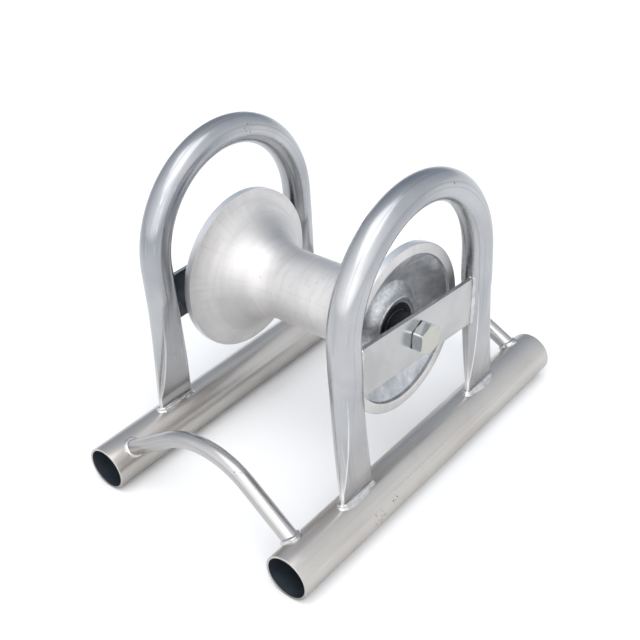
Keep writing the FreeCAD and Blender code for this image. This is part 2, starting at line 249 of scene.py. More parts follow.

# Colours of the drawn tubes: two that cloud the metal, its stains, its painted dark reflection streaks
# and its warm foot
hoop_tones = {"pale": (0.47, 0.473, 0.48), "dark": (0.29, 0.30, 0.32), "stain": (0.38, 0.37, 0.39),
              "dark_reflection_streak": (0.15, 0.18, 0.23), "warm": (0.44, 0.415, 0.395)}
base_tones = {"pale": (0.55, 0.53, 0.505), "dark": (0.44, 0.42, 0.395), "stain": (0.42, 0.375, 0.345),
              "dark_reflection_streak": (0.30, 0.285, 0.275), "warm": (0.51, 0.485, 0.46)}

# Light: a window in front, walls that dim and turn bluer towards the far side, a white horizon
window_azimuth = math.radians(-146)
window_height = math.radians(28)
window_edge = (0.84, 0.98)
window_light = (2.45, 2.45, 2.47)
near_light = (1.96, 1.96, 1.97)
far_light = (0.34, 0.40, 0.49)
horizon_edge = (0.04, 0.10)
horizon_light = (1.0, 1.0, 1.0)
lamp_place = (-0.4, -0.3, 1.8)
lamp_width = 1.6
lamp_power = 12
floor_half = 12.0

# Where finishes, painted shade and painted highlights fade in or out: by height, off a die line, by
# distance from the axle and along it
warm_edge = (40 * MM, 150 * MM)
underside_shade_edge = (1 * MM, 26 * MM)
die_line_edge = (0.1 * MM, 0.5 * MM)
hollow_shade_inner_edge = (34 * MM, 38 * MM)
hollow_shade_outer_edge = (46 * MM, 60 * MM)
rim_highlight_edge = (flange_radius - 0.4 * MM, flange_radius - 0.1 * MM)
cone_edge = (34 * MM, 39 * MM)
corner_highlight_edge = (13.2 * MM, 13.6 * MM)
face_edge = (bar_outer_y + head_height - 0.9 * MM, bar_outer_y + head_height - 0.3 * MM)

# Depths of relief
fine_relief = 0.05 * MM
rough_relief = 0.1 * MM
drum_relief = 0.14 * MM

# Edges sharper than this many degrees stay sharp
sharp_edge = 35.0
hoop_sharp_edge = 50.0
drum_sharp_edge = 28.0
bolt_sharp_edge = 30.0


# Sockets and trees

class Socket:
    """A node's socket that takes part in plain arithmetic."""

    def __init__(self, tree, socket=None):
        self.tree = tree
        self.socket = socket

    def node(self, kind, settings=None, inputs=None, output=0):
        """New node: its settings are set first, then the values or links of its inputs."""
        made = self.tree.nodes.new(kind)
        for key, value in (settings or {}).items():
            setattr(made, key, value)
        for key, value in (inputs or {}).items():
            if isinstance(value, Socket):
                self.tree.links.new(value.socket, made.inputs[key])
            else:
                made.inputs[key].default_value = value
        return Socket(self.tree, made.outputs[output])

    def other(self, output):
        """Another output of the same node."""
        return Socket(self.tree, self.socket.node.outputs[output])

    def maths(self, operation, *values):
        """Math node on sockets and numbers, in the order given."""
        return self.node("ShaderNodeMath", {"operation": operation}, dict(enumerate(values)))

    def own(self, operation):
        """Math node that takes this socket alone."""
        return self.maths(operation, self)

    def __abs__(self):
        return self.own("ABSOLUTE")

    def __add__(self, value):
        return self.maths("ADD", self, value)

    def __radd__(self, value):
        return self.maths("ADD", value, self)

    def __sub__(self, value):
        return self.maths("SUBTRACT", self, value)

    def __rsub__(self, value):
        return self.maths("SUBTRACT", value, self)

    def __mul__(self, value):
        return self.maths("MULTIPLY", self, value)

    def __rmul__(self, value):
        return self.maths("MULTIPLY", value, self)

    def __truediv__(self, value):
        return self.maths("DIVIDE", self, value)

    def __rtruediv__(self, value):
        return self.maths("DIVIDE", value, self)

    def __pow__(self, value):
        return self.maths("POWER", self, value)


# Mesh building

def add(name, data):
    """New object in the scene."""
    made = bpy.data.objects.new(name, data)
    bpy.context.scene.collection.objects.link(made)
    return made


def face_outwards(mesh, merge=False):
    """Turns all faces outwards, once doubles are merged where asked."""
    shape = bmesh.new()
    shape.from_mesh(mesh)
    if merge:
        bmesh.ops.remove_doubles(shape, verts=shape.verts, dist=0.001 * MM)
    bmesh.ops.recalc_face_normals(shape, faces=shape.faces)
    shape.to_mesh(mesh)
    shape.free()


def skin(name, rings, loop=False, sharp=sharp_edge):
    """Skin over closed rings of points, with flat ends, or closed on itself. Its UV map is in
    metres: u along the rings' path and v around them."""
    rings = np.asarray(rings, float)
    count, around = rings.shape[:2]
    vertices = rings.reshape(-1, 3)
    spans = count if loop else count - 1
    middle = rings.mean(axis=1)
    path = rings[:, 0] if loop else middle
    steps = np.linalg.norm(np.diff(path, axis=0, append=path[:1]), axis=1)
    along = np.concatenate([[0.0], np.cumsum(steps)])
    edges = np.linalg.norm(np.diff(rings[count // 2], axis=0, append=rings[count // 2, :1]), axis=1)
    across = np.concatenate([[0.0], np.cumsum(edges)])
    faces = []
    uvs = []
    for i in range(spans):
        k = (i + 1) % count
        for j in range(around):
            m = (j + 1) % around
            faces.append((i * around + j, i * around + m, k * around + m, k * around + j))
            uvs.append(((along[i], across[j]), (along[i], across[j + 1]),
                        (along[i + 1], across[j + 1]), (along[i + 1], across[j])))
    if not loop:
        for i in (0, count - 1):
            centre = len(vertices)
            vertices = np.vstack([vertices, middle[i]])
            for j in range(around):
                faces.append((centre, i * around + j, i * around + (j + 1) % around))
                uvs.append(((along[i], 0.0), (along[i], across[j]), (along[i], across[j + 1])))
    mesh = bpy.data.meshes.new(name)
    mesh.from_pydata([tuple(v) for v in vertices], [], faces)
    face_outwards(mesh)
    mesh.shade_smooth()
    mesh.set_sharp_from_angle(angle=math.radians(sharp))
    lay_uv(mesh, faces, uvs)
    return add(name, mesh)


def lay_uv(mesh, faces, uvs):
    """Writes a UV map from each face's corners, whichever way the face has been turned."""
    layer = mesh.uv_layers.new(name="path")
    for polygon, corners, places in zip(mesh.polygons, faces, uvs):
        known = dict(zip(corners, places))
        for loop_index in polygon.loop_indices:
            layer.data[loop_index].uv = known[mesh.loops[loop_index].vertex_index]


def rounded(corners, steps=4):
    """Closed outline of points, where a third number rounds that corner."""
    points = []
    count = len(corners)
    for i, corner in enumerate(corners):
        here = np.array(corner[:2])
        size = corner[2] if len(corner) > 2 else 0.0
        if not size:
            points.append(here)
            continue
        to_last = np.array(corners[i - 1][:2]) - here
        to_next = np.array(corners[(i + 1) % count][:2]) - here
        to_last /= np.linalg.norm(to_last)
        to_next /= np.linalg.norm(to_next)
        half = math.acos(np.clip(to_last @ to_next, -1, 1)) / 2
        reach = size / math.tan(half)
        first, last = here + to_last * reach, here + to_next * reach
        centre = here + (to_last + to_next) / np.linalg.norm(to_last + to_next) * size / math.sin(half)
        for t in np.linspace(0, 1, steps + 1):
            spoke = first + (last - first) * t - centre
            points.append(centre + spoke / np.linalg.norm(spoke) * size)
    return np.array(points)


def even_turns(count):
    """Angles spread evenly round a circle."""
    return np.arange(count) * 2 * math.pi / count


def axle_ring(radius, y, count):
    """Ring of points about the axle, with one radius and y or with one for each point."""
    turns = even_turns(count)
    return np.stack([axle_x + radius * np.cos(turns), y + 0 * turns, axle_z + radius * np.sin(turns)],
                    axis=1)


def turned(name, outline, segments, sharp=sharp_edge):
    """Ring or drum turned about the axle from a closed outline of (radius, y) points."""
    return skin(name, [axle_ring(r, y, segments) for r, y in outline], loop=True, sharp=sharp)


def turn_about(point, angle):
    """Turn about a line along Y through a point."""
    return Matrix.Translation(point) @ Matrix.Rotation(angle, 4, "Y") @ Matrix.Translation(-point)


def settle(made):
    """Turns a piece and its modifiers into a plain mesh."""
    bpy.context.view_layer.update()
    seen = made.evaluated_get(bpy.context.evaluated_depsgraph_get())
    mesh = bpy.data.meshes.new_from_object(seen)
    made.modifiers.clear()
    made.data = mesh


def joined(name, parts):
    """One object from several, in the order given."""
    shape = bmesh.new()
    for part in parts:
        shape.from_mesh(part.data)
    mesh = parts[0].data.copy()
    shape.to_mesh(mesh)
    shape.free()
    mesh.name = name
    for part in parts:
        bpy.data.objects.remove(part)
    return add(name, mesh)


def side_name(side):
    """Name of a side as nodes and pieces have it."""
    return "right" if side < 0 else "left"


def end_name(end):
    """Name of an end as nodes and pieces have it."""
    return "front" if end < 0 else "rear"


def dress(made, material, node):
    """Gives a piece its finish and puts it in place of a CAD node, on the node's body."""
    if not made.data.materials:
        made.data.materials.append(material)
    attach(made, frame["nodes"][node]["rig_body"])
    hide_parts(node)


def repaint(material, *nodes):
    """Gives CAD nodes that stay as they are a better finish."""
    for node in nodes:
        made = frame["nodes"][node]
        if not made.material_slots:
            made.data.materials.append(material)
        made.material_slots[0].link = "OBJECT"
        made.material_slots[0].material = material


# Base tubes

def base_tube(side, finish, inside):
    """Open tube with softened ends, in one finish outside and painted shade inside."""
    inner = base_radius - tube_wall
    corners = ((base_radius, -base_half), (base_radius, base_half),
               (inner, base_half), (inner, -base_half))
    outline = rounded([(*corner, tube_end_round) for corner in corners])
    rows = []
    for (r, x), (_, next_x) in zip(outline, np.roll(outline, -1, axis=0)):
        rows.append((r, x))
        if abs(next_x - x) > base_half:
            rows += [(r, x + (next_x - x) * t) for t in np.linspace(0, 1, tube_steps + 1)[1:-1]]
    turns = even_turns(tube_segments)
    rings = [[(x, side * base_y - r * math.sin(a), base_radius - r * math.cos(a)) for a in turns]
             for r, x in rows]
    made = skin("base_tube_skin_" + side_name(side), rings, loop=True)
    made.data.materials.append(finish)
    made.data.materials.append(inside)
    for face in made.data.polygons:
        radius = math.hypot(face.center.y - side * base_y, face.center.z - base_radius)
        if radius < inner + 0.3 * tube_wall and abs(face.center.x) < base_half - tube_end_round:
            face.material_index = 1
    return made


# Hoops

def section_poles(ridge, crown_y, side, crown_weight, side_weight):
    """Poles and weights round a section made of six conic arcs, from its first quarter."""
    nose = (side[0], 0.0)
    quarter = [(ridge, 1.0), ((0.0, crown_y), crown_weight)]
    half = [((-x, y), w) for (x, y), w in ((ridge, 1.0), (side, side_weight), (nose, 1.0),
                                           ((side[0], -side[1]), side_weight))]
    upper = quarter + half
    return upper + [((-x, -y), w) for (x, y), w in upper]


def round_section():
    """The tube's own circle, with its arcs cut where the ridges will rise."""
    half_side = (math.pi / 2 - ridge_angle) / 2
    ridge = (hoop_radius * math.sin(ridge_angle), hoop_radius * math.cos(ridge_angle))
    side = (hoop_radius, hoop_radius * math.tan(half_side))
    return section_poles(ridge, hoop_radius / math.cos(ridge_angle), side,
                         math.cos(ridge_angle), math.cos(half_side))


def flat_section():
    """Flat oval of the squashed foot."""
    r = foot_thickness / 2
    return section_poles((foot_width / 2 - r, r), r, (foot_width / 2, r), 1.0, math.sqrt(0.5))


def ridged_section():
    """Halfway between round and flat: flat faces end in ridges, and the sides bulge."""
    width = hoop_radius + foot_width / 2
    thickness = hoop_radius + foot_thickness / 2
    drop = (width - ridge_spread) / 2 * math.tan(ridge_slope)
    return section_poles((ridge_spread / 2, thickness / 2), thickness / 2,
                         (width / 2, thickness / 2 - drop), math.cos(ridge_slope), side_bulge)


def around_section(poles):
    """Points along the six conic arcs of a row of poles, given as x, y, z and weight."""
    points = []
    for start in range(0, 12, 2):
        a, b, c = (poles[(start + i) % 12] for i in range(3))
        for t in np.linspace(0, 1, arc_steps, endpoint=False):
            point = a * (1 - t) ** 2 + b * 2 * t * (1 - t) + c * t ** 2
            points.append(point[:3] / point[3])
    return np.array(points)


def even_ring(ring):
    """The same ring with its points spread evenly along it."""
    closed = np.vstack([ring, ring[:1]])
    steps = np.linalg.norm(np.diff(closed, axis=0), axis=1)
    along = np.concatenate([[0.0], np.cumsum(steps)])
    even = np.linspace(0, along[-1], len(ring), endpoint=False)
    return np.stack([np.interp(even, along, closed[:, k]) for k in range(3)], axis=1)


def soften(ring, reach):
    """Rounds the ridges of a ring by averaging along it."""
    length = np.linalg.norm(np.diff(ring, axis=0, append=ring[:1]), axis=1).sum()
    spread = reach / length * len(ring)
    offsets = np.arange(-8, 9)
    weights = np.exp(-(offsets / spread) ** 2)
    weights /= weights.sum()
    even = even_ring(ring)
    return sum(np.roll(even, -k, axis=0) * w for k, w in zip(offsets, weights))


def leg_rings(end, side):
    """Rings of one leg from the foot up to the round tube."""
    x = axle_x + end * hoop_bend
    sections = (round_section(), ridged_section(), flat_section())
    centres = ((x, side * hoop_y, squash_top),
               (x, side * (3 * hoop_y + base_y) / 4, (squash_top + foot_top) / 2),
               (x, side * base_y, foot_top))
    rows = [np.array([((cx + end * px) * w, (cy + py) * w, cz * w, w) for (px, py), w in section])
            for section, (cx, cy, cz) in zip(sections, centres)]
    rows[1] = 2 * rows[1] - (rows[0] + rows[2]) / 2
    rings = []
    for t in np.linspace(1, 0, leg_steps + 1):
        poles = rows[0] * (1 - t) ** 2 + rows[1] * 2 * t * (1 - t) + rows[2] * t ** 2
        rings.append(soften(around_section(poles), ridge_softness * min(1.0, 4 * t + 0.01)))
    drop = foot_top - (2 * base_radius - foot_sink)
    below = [rings[0] - np.array([0, 0, drop * t]) for t in (1.0, 0.6, 0.3)]
    return below + rings


def hoop(side):
    """Bent tube with both legs squashed flat at the foot."""
    bend_z = hoop_top - hoop_radius - hoop_bend
    section = even_ring(around_section(np.array([(px * w, py * w, 0, w)
                                                 for (px, py), w in round_section()])))
    rings = leg_rings(1, side)
    for z in np.linspace(squash_top, bend_z, straight_steps + 1)[1:-1]:
        rings.append(section + np.array([axle_x + hoop_bend, side * hoop_y, z]))
    for turn in np.linspace(0, math.pi, bend_steps + 1):
        radial = np.array([math.cos(turn), 0, math.sin(turn)])
        centre = np.array([axle_x, side * hoop_y, bend_z]) + hoop_bend * radial
        rings.append([centre + a * radial + np.array([0, b, 0]) for a, b, _ in section])
    for z in np.linspace(bend_z, squash_top, straight_steps + 1)[1:-1]:
        rings.append(section * np.array([-1, 1, 1]) + np.array([axle_x - hoop_bend, side * hoop_y, z]))
    rings += leg_rings(-1, side)[::-1]
    made = skin("hoop_skin_" + side_name(side), rings, sharp=hoop_sharp_edge)
    mark_ridges(made, np.asarray(rings))
    return made


def mark_ridges(made, rings):
    """Vertex attribute that is 1 where a ring bends sharply and 0 where it is round or flat; it places
    the painted highlight on the ridges.
    """
    steps = np.roll(rings, -1, axis=1) - rings
    lengths = np.maximum(np.linalg.norm(steps, axis=2, keepdims=True), 1e-9)
    steps = steps / lengths
    bend = np.linalg.norm(steps - np.roll(steps, 1, axis=1), axis=2) / lengths[..., 0]
    ridge_highlight = np.clip((bend * ridge_highlight_scale - 0.25) / 0.5, 0.0, 1.0).ravel()
    values = np.zeros(len(made.data.vertices))
    values[:len(ridge_highlight)] = ridge_highlight
    layer = made.data.attributes.new("ridge", "FLOAT", "POINT")
    layer.data.foreach_set("value", values)


# Crossbars

def crossbar(side, finish, painted_shade_face=None):
    """Flat bar with rounded edges, run into the walls of both legs, with its bolt hole, and painted
    shade on its inner face where given.
    """
    half_y = bar_thickness / 2
    half_z = bar_height / 2
    middle_y = side * (bar_outer_y - half_y)
    outline = rounded([(y, z, bar_round) for y, z in ((half_y, -half_z), (half_y, half_z),
                                                      (-half_y, half_z), (-half_y, -half_z))])
    reach = hoop_bend - hoop_radius + bar_sink
    rings = [[(axle_x + x, middle_y + y, axle_z + z) for y, z in outline]
             for x in np.linspace(-reach, reach, bar_steps + 1)]
    bar = skin("crossbar_skin_" + side_name(side), rings)
    cut_hole(bar, bolt_radius + bar_hole_gap)
    bar.data.transform(turn_about(axle_centre, bar_tilt[side]))
    bar.data.materials.clear()
    bar.data.materials.append(finish)
    # Painted shade on the inner face of the far bar
    if painted_shade_face:
        bar.data.materials.append(painted_shade_face)
        for face in bar.data.polygons:
            if side * face.normal.y < -0.5:
                face.material_index = 1
    return bar


def cut_hole(made, radius):
    """Round hole through a piece along the axle."""
    drill = skin("drill", [axle_ring(radius, y, hole_segments) for y in (-0.2, 0.2)])
    change = made.modifiers.new("hole", "BOOLEAN")
    change.object = drill
    change.solver = "EXACT"
    settle(made)
    made.data.set_sharp_from_angle(angle=math.radians(sharp_edge))
    bpy.data.objects.remove(drill)


# Arched cross tubes

def arch_matrix(end):
    """Lean of an arch towards the middle, and its place at the front or the rear."""
    lean = turn_about(Vector((0, 0, base_radius)), -end * arch_lean)
    return Matrix.Translation(Vector((end * (base_half - arch_inset[end]), 0, 0))) @ lean


def arch_end(side):
    """Where the arch's bend ends on a side, and its direction there, outwards and down."""
    sine, cosine = math.sin(arch_slope), math.cos(arch_slope)
    place = Vector((0, side * arch_bend * sine, arch_top - arch_bend + arch_bend * cosine))
    return place, Vector((0, side * cosine, -sine))


def onto_base(point, direction, radius, side):
    """Where a line meets a round of a given radius on a base tube's axis, first side met."""
    offset = np.array([point[1] - side * base_y, point[2] - base_radius])
    step = np.array([direction[1], direction[2]])
    a, b, c = step @ step, 2 * offset @ step, offset @ offset - radius ** 2
    t = (-b - math.sqrt(b * b - 4 * a * c)) / (2 * a)
    return np.array(point) + t * np.array(direction)


def arch_ring(place, direction, count):
    """Ring of points square to the arch's line."""
    level = Vector((1, 0, 0))
    up = level.cross(direction)
    return [place + arch_radius * (math.cos(a) * level + math.sin(a) * up) for a in even_turns(count)]


def cross_tube(end):
    """Arched tube whose ends follow the base tubes they are welded to."""
    turn = arch_matrix(end)
    centre = Vector((0, 0, arch_top - arch_bend))
    rings = []
    for angle in np.linspace(arch_slope, -arch_slope, arch_bend_steps + 1):
        spin = Matrix.Rotation(angle, 3, "X")
        place = centre + arch_bend * (spin @ Vector((0, 0, 1)))
        ring = arch_ring(place, spin @ Vector((0, 1, 0)), arch_segments)
        rings.append([turn @ p for p in ring])
    for side, at in ((-1, 0), (1, -1)):
        inner = rings[at]
        heading = turn.to_3x3() @ arch_end(side)[1]
        last = [onto_base(p, heading, base_radius - foot_sink, side) for p in inner]
        between = [[Vector(a) + (Vector(b) - Vector(a)) * t for a, b in zip(inner, last)]
                   for t in np.linspace(0, 1, arch_leg_steps + 1)[1:]]
        rings = between[::-1] + rings if side < 0 else rings + between
    return skin("cross_tube_skin_" + end_name(end), rings)


# Weld beads

def seam(name, points, outs, ups):
    """Closed line of a joint, with the two directions that a bead spreads from it."""
    mesh = bpy.data.meshes.new(name)
    count = len(points)
    mesh.from_pydata([tuple(p) for p in points], [(i, (i + 1) % count) for i in range(count)], [])
    for key, values in (("out", outs), ("up", ups)):
        layer = mesh.attributes.new(key, "FLOAT_VECTOR", "POINT")
        layer.data.foreach_set("vector", np.array([tuple(v) for v in values], float).ravel())
    return add(name, mesh)


def foot_seam(side, end):
    """Line round a squashed foot on the crown of the base tube. The bead swells in the middle of
    each long side, a little off centre, and thins towards the noses."""
    x = axle_x + end * hoop_bend
    r = foot_thickness / 2
    s = foot_width / 2 - r
    points, outs = [], []
    for sign in (1, -1):
        for t in np.linspace(0, 1, foot_side_steps, endpoint=False):
            points.append((x + sign * s * (1 - 2 * t), sign * r))
            swell = math.sin(math.pi * min(1, max(0, t - sign * foot_bead_lean[end]))) ** 0.8
            outs.append((0, sign * (foot_bead_thin + foot_bead_swell * swell)))
        for t in np.linspace(0, 1, foot_nose_steps, endpoint=False):
            a = math.pi / 2 + math.pi * t
            points.append((x + sign * (-s + r * math.cos(a)), sign * r * math.sin(a)))
            outs.append((foot_bead_thin * sign * math.cos(a), foot_bead_thin * sign * math.sin(a)))
    line = [(px, side * base_y + py, base_radius + math.sqrt(base_radius ** 2 - py ** 2))
            for px, py in points]
    slope = [(ox, oy, -abs(oy) * foot_bead_droop) for ox, oy in outs]
    return seam("foot_seam", line, slope, [(0, 0, 0.5 + 0.5 * math.hypot(ox, oy)) for ox, oy in outs])


def bar_seam(side, end):
    """Line round the end of a crossbar where it meets a leg."""
    half_z = bar_height / 2
    half_y = bar_thickness / 2
    middle_y = side * (bar_outer_y - half_y)
    corners = [(half_y, half_z), (-half_y, half_z), (-half_y, -half_z), (half_y, -half_z)]
    points, outs = [], []
    for (y0, z0), (y1, z1) in zip(corners, corners[1:] + corners[:1]):
        upright = abs(z1 - z0) > abs(y1 - y0)
        for t in np.linspace(0, 1, bar_side_steps if upright else bar_edge_steps, endpoint=False):
            y, z = y0 + (y1 - y0) * t, z0 + (z1 - z0) * t
            beside = middle_y + y - side * hoop_y
            x = hoop_bend - math.sqrt(hoop_radius ** 2 - beside ** 2)
            points.append(Vector((axle_x + end * x, middle_y + y, axle_z + z)))
            outs.append(Vector((0, math.copysign(1, y), 0)) if upright
                        else Vector((0, 0, math.copysign(1, z))))
    turn = turn_about(axle_centre, bar_tilt[side])
    spin = turn.to_3x3()
    up = spin @ Vector((-end, 0, 0))
    return seam("bar_seam", [turn @ p for p in points], [spin @ v for v in outs], [up] * len(points))


def arch_seam(side, end):
    """Line round the end of an arched cross tube on the base tube."""
    turn = arch_matrix(end)
    spin = turn.to_3x3()
    begin, heading = arch_end(side)
    ring = arch_ring(begin, -heading, arch_seam_segments)
    points = [onto_base(turn @ p, spin @ heading, base_radius, side) for p in ring]
    outs = [spin @ (p - begin).normalized() for p in ring]
    return seam("arch_seam", points, outs, [spin @ -heading] * len(points))


def vector_sum(a, b):
    """Sum of two vectors."""
    return a.node("ShaderNodeVectorMath", {"operation": "ADD"}, {0: a, 1: b})


def vector_scale(vector, size):
    """A vector made longer or shorter."""
    return vector.node("ShaderNodeVectorMath", {"operation": "SCALE"}, {0: vector, "Scale": size})


def hollowed(value, power):
    """Raises a value's size to a power and keeps its sign."""
    return value.own("SIGN") * abs(value) ** power


def captured(geometry, fields):
    """Keeps fields on a geometry's points, each named and given as its kind and its socket."""
    made = geometry.node("GeometryNodeCaptureAttribute", None, {"Geometry": geometry})
    keeper = made.socket.node
    for name, (kind, _) in fields.items():
        keeper.capture_items.new(kind, name)
    for name, (_, field) in fields.items():
        geometry.tree.links.new(field.socket, keeper.inputs[name])
    return made


def bead_tree():
    """Geometry tree that lays a rippled bead along a closed seam: it sweeps a circle along the
    seam, and then puts each point where its way along the bead and around it says."""
    tree = bpy.data.node_groups.new("weld_bead", "GeometryNodeTree")
    floats = [(name, "INPUT", "Float") for name in (*foot_bead, "Seed")]
    for name, way, kind in [("Seam", "INPUT", "Geometry"), *floats, ("Finish", "INPUT", "Material"),
                            ("Bead", "OUTPUT", "Geometry")]:
        tree.interface.new_socket(name, in_out=way, socket_type="NodeSocket" + kind)
    value = Socket(tree).node("NodeGroupInput").other

    line = value("Seam").node("GeometryNodeMeshToCurve", None, {"Mesh": value("Seam")})
    line = line.node("GeometryNodeResampleCurve", {"mode": "LENGTH"},
                     {"Curve": line, "Length": value("Ripple length") / ripple_points})
    out, up = (line.node("GeometryNodeInputNamedAttribute", {"data_type": "FLOAT_VECTOR"},
                         {"Name": name}) for name in ("out", "up"))
    line = captured(line, {"place": ("VECTOR", line.node("GeometryNodeInputPosition")),
                           "along": ("FLOAT", line.node("GeometryNodeSplineParameter", output="Length")),
                           "out": ("VECTOR", out), "up": ("VECTOR", up)})
    circle = line.node("GeometryNodeCurvePrimitiveCircle", None,
                       {"Resolution": around_points, "Radius": 1.0 * MM})
    circle = captured(circle, {"turn": ("FLOAT", line.node("GeometryNodeSplineParameter"))})
    body = line.node("GeometryNodeCurveToMesh", None, {"Curve": line.other("Geometry"),
                                                       "Profile Curve": circle.other("Geometry")})

    angle = circle.other("turn") * (2 * math.pi)
    across = hollowed(angle.own("COSINE"), value("Hollow"))
    rise = hollowed(angle.own("SINE"), value("Hollow"))
    place = line.other("place")
    cloud = place.node("ShaderNodeTexNoise", {"noise_dimensions": "4D"},
                       {"Vector": place, "W": value("Seed"), "Scale": 1 / value("Lump size"),
                        "Detail": 1.0})
    warp = (cloud - 0.5) * 2.0
    phase = line.other("along") / value("Ripple length") + rise * 0.5 + warp
    wave = 1 - abs((phase * math.pi).own("SINE"))
    fold = angle * value("Ridges") + warp * 0.9
    crest = fold.own("COSINE") * value("Ridge height")
    swell = 1 + warp * value("Lump height") + crest - wave * value("Ripple depth")
    out = vector_scale(line.other("out"), across * swell * value("Reach"))
    up = vector_scale(line.other("up"), rise * swell * value("Rise"))

    body = body.node("GeometryNodeSetPosition", None,
                     {"Geometry": body, "Position": vector_sum(vector_sum(out, up), place)})
    body = body.node("GeometryNodeSetShadeSmooth", None, {"Geometry": body})
    body = body.node("GeometryNodeRealizeInstances", None, {"Geometry": body})
    body = body.node("GeometryNodeSetMaterial", None, {"Geometry": body, "Material": value("Finish")})
    tree.links.new(body.socket, tree.nodes.new("NodeGroupOutput").inputs["Bead"])
    return tree


def lay_bead(tree, line, finish, sizes, seed):
    """Runs the bead tree on a seam and keeps the result as a plain mesh."""
    change = line.modifiers.new("bead", "NODES")
    change.node_group = tree
    values = {"Seed": float(seed), "Finish": finish, **sizes}
    for item in tree.interface.items_tree:
        if item.name in values:
            change[item.identifier] = values[item.name]
    settle(line)
    face_outwards(line.data, merge=True)
    return line


def weld_pair(joint, where, beads, finish):
    """Makes a joint's two beads one piece, in place of the joint's CAD node."""
    dress(joined(joint + "_bead_" + where, beads), finish, joint + "_welds_" + where)


def welds(finish):
    """All the beads, each with a seed that is worked out from its side and its end."""
    tree = bead_tree()
    for side in (-1, 1):
        name = side_name(side)
        weld_pair("foot", name, [lay_bead(tree, foot_seam(side, end), finish, foot_bead,
                                          3 * side + end + 9) for end in (-1, 1)], finish)
        weld_pair("crossbar", name, [lay_bead(tree, bar_seam(side, end), finish, bar_bead,
                                              5 * side + end + 19) for end in (-1, 1)], finish)
    for end in (-1, 1):
        name = end_name(end)
        weld_pair("cross_tube", name, [lay_bead(tree, arch_seam(side, end), finish, arch_bead,
                                                7 * side + end + 29) for side in (-1, 1)], finish)


# Drum

def bowed(first, last, bow, steps):
    """Points from the first up to the last, along a curve that sags by a bow in each direction."""
    middle = (first + last) / 2 - np.array([bow, bow])
    control = 2 * middle - (first + last) / 2
    return [tuple(first * (1 - t) ** 2 + control * 2 * t * (1 - t) + last * t ** 2)
            for t in np.linspace(0, 1, steps + 1)[:-1]]


def drum_outline():
    """Closed outline of the drum, one half mirrored onto the other."""
    rim_y = drum_half - rim_width
    rise, run = flange_radius - neck_radius, rim_y - neck_half
    flare = (rise ** 2 + run ** 2) / (2 * rise)
    half = [(neck_radius, 0.0), (neck_radius, neck_half / 2)]
    half += [(neck_radius + flare * (1 - math.cos(a)), neck_half + flare * math.sin(a))
             for a in np.linspace(0, math.asin(run / flare), flare_steps + 1)]
    hub_y, root_y = drum_half - hub_depth, drum_half - hub_root_depth
    end = rounded([half[-1], (flange_radius, drum_half, rim_round),
                   (recess_radius, drum_half, recess_round),
                   (recess_radius - recess_draft, drum_half - recess_step, recess_round),
                   (hub_root_radius, root_y)])
    half += [tuple(p) for p in end[1:-1]]
    root = np.array([hub_root_radius, root_y])
    half += bowed(np.array(half[-1]), root, 0.0, dish_steps)[1:]
    half += bowed(root, np.array([hub_radius, hub_y - hub_round]), hub_bow, hub_steps)
    nose = rounded([(hub_radius, hub_y - 3 * hub_round), (hub_radius, hub_y, hub_round),
                    (seat_radius + seat_chamfer, hub_y)])
    half += [tuple(p) for p in nose[1:]]
    half += [(seat_radius, hub_y - seat_chamfer), (seat_radius, bearing_back),
             (core_radius, bearing_back)]
    return half + [(r, -y) for r, y in half[:0:-1]]


def drum(finish, cast):
    """Turned drum whose dished ends have the cast finish."""
    made = turned("drum_skin", drum_outline(), drum_segments, drum_sharp_edge)
    made.data.materials.append(finish)
    made.data.materials.append(cast)
    for face in made.data.polygons:
        centre, normal = face.center, face.normal
        radius = math.hypot(centre.x - axle_x, centre.z - axle_z)
        faces_out = normal.y * math.copysign(1, centre.y) > 0.05
        on_step = radius > recess_radius - 2 * recess_draft and abs(centre.y) > drum_half - recess_step
        if radius < recess_radius and (faces_out or on_step):
            face.material_index = 1
    return made


# Bearings and collars

def outer_ring(side):
    """Outer ring of a bearing, with a recess at both ends for its seals."""
    face, back = side * bearing_face, side * bearing_back
    step = side * seal_thickness
    outline = rounded([(outer_ring_radius, face, bearing_round),
                       (outer_ring_radius, back, bearing_round),
                       (seal_radius, back, small_round), (seal_radius, back + step),
                       (land_radius, back + step), (land_radius, face - step),
                       (seal_radius, face - step), (seal_radius, face, small_round)])
    return turned("bearing_outer_skin_" + side_name(side), outline, bearing_segments)


def seals(side):
    """The two rubber seals of a bearing."""
    near = turned("seal_near", seal_outline(side * bearing_face, side), bearing_segments)
    far = turned("seal_far", seal_outline(side * bearing_back, -side), bearing_segments)
    return joined("bearing_seal_skin_" + side_name(side), [near, far])


def seal_outline(face, out):
    """Rubber lip whose face steps up and down, from the inner ring out to the outer one."""
    high = face - out * seal_sink
    low = high - out * seal_step_depth
    back = high - out * seal_thickness
    corners = [(seal_radius, high), (seal_radius, back), (seal_inner, back), (seal_inner, low)]
    for radius, before, after in zip(seal_step_radii, (low, high, low), (high, low, high)):
        corners += [(radius - seal_step_half, before, seal_step_round),
                    (radius + seal_step_half, after, seal_step_round)]
    return rounded(corners)


def collar(side):
    """Black collar between a bearing and the crossbar."""
    outer_y, inner_y = side * (bar_outer_y - bar_thickness), side * bearing_face
    outline = rounded([(collar_radius, inner_y, small_round), (collar_radius, outer_y, collar_round),
                       (sleeve_radius, outer_y), (sleeve_radius, inner_y)])
    return turned("collar_skin_" + side_name(side), outline, collar_segments)


# Bolt and nut

def hexagon_radii():
    """Distances from the axle to the sides of a hexagon with softened corners."""
    turn = np.abs((even_turns(hexagon_segments) + math.pi / 6) % (math.pi / 3) - math.pi / 6)
    flat = head_flats / 2 / np.cos(math.pi / 6 - turn)
    limit = head_flats / math.sqrt(3) - head_corner_cut
    return limit - head_corner_blend * np.logaddexp(0, (limit - flat) / head_corner_blend)


